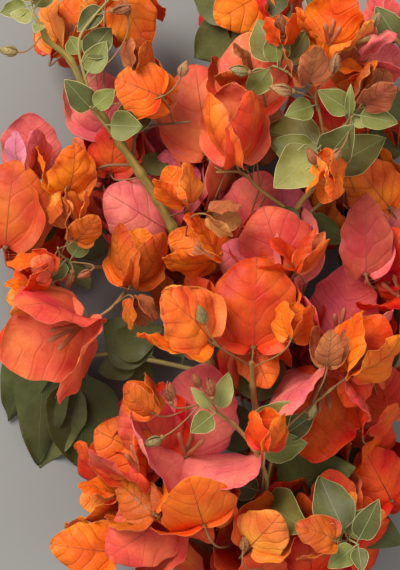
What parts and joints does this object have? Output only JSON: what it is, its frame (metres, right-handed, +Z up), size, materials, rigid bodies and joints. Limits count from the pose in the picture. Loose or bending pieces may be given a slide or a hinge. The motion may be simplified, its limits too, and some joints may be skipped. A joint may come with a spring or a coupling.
{
  "type": "cut flowering bougainvillea branch",
  "caption": "Leafy woody branch with many papery three-bract blooms, cut at its foot and lying on its side.",
  "frame": {"origin": "on the surface that the branch lies on, under the middle of its box", "axes": "+Y from the cut foot towards the shoots' tips, +X to the right as the blooms are seen, +Z up"},
  "size_m": [0.1923, 0.2863, 0.0873],
  "materials": {
    "stem_bark": "young olive-green to tan bark, finely streaked lengthwise",
    "leaf": "soft green leaf with pale veins and a thin pale margin",
    "bract_coral": "thin papery bract with a net of darker veins",
    "bract_orange": "thin papery bract with a net of darker veins",
    "bract_russet": "thin papery bract with a net of darker veins",
    "bract_rose": "thin papery bract with a net of darker veins",
    "bract_mauve": "thin papery bract with a net of darker veins",
    "bract_plum": "thin papery bract with a net of darker veins",
    "bract_scarlet": "thin papery bract with a net of darker veins"
  },
  "bodies": {
    "root": {"main_stem": "stem_bark", "lower_shoot": "stem_bark", "centre_bough": "stem_bark", "left_bough_low": "stem_bark", "left_bough_high": "stem_bark", "right_shoot_low": "stem_bark", "right_shoot_high": "stem_bark", "outer_bough_low": "stem_bark", "outer_bough_high": "stem_bark", "lower_left_bough": "stem_bark", "left_twig": "stem_bark", "shoot_top_left": "leaf", "shoot_upper_left": "leaf", "leaves_left_stem": "leaf", "shoot_top_centre": "leaf", "buds_top": "leaf", "shoot_right": "leaf", "shoot_right_low": "leaf", "shoot_centre": "leaf", "leaves_centre": "leaf", "shoot_low_right": "leaf", "small_left": "leaf", "back_leaves_left": "leaf", "back_leaves_centre": "leaf", "tulip": "bract_coral", "heart": "bract_coral", "coral_low_left": "bract_coral", "coral_bottom": "bract_coral", "big_left": "bract_coral", "coral_left_edge": "bract_coral", "salmon_stem_low": "bract_coral", "coral_top": "bract_coral", "coral_behind_tulip": "bract_coral", "coral_low": "bract_coral", "coral_right_back": "bract_coral", "marigold": "bract_orange", "pumpkin": "bract_orange", "amber_bottom_left": "bract_orange", "crinkle_left": "bract_orange", "orange_top": "bract_orange", "orange_top_right": "bract_orange", "vermilion_top_left": "bract_orange", "orange_upper": "bract_orange", "vivid_crinkled": "bract_orange", "orange_mid_left": "bract_orange", "orange_low_right": "bract_orange", "ember_behind": "bract_russet", "russet": "bract_russet", "orange_pair_mid": "bract_russet", "blush": "bract_rose", "salmon_right": "bract_rose", "rose_centre": "bract_rose", "mauve_left": "bract_mauve", "plum": "bract_plum", "magenta_mid": "bract_plum", "scarlet_edge": "bract_scarlet", "crimson_cup": "bract_scarlet", "crimson_left": "bract_scarlet", "scarlet_bottom": "bract_scarlet", "crimson_right_edge": "bract_scarlet"}
  },
  "joints": []
}
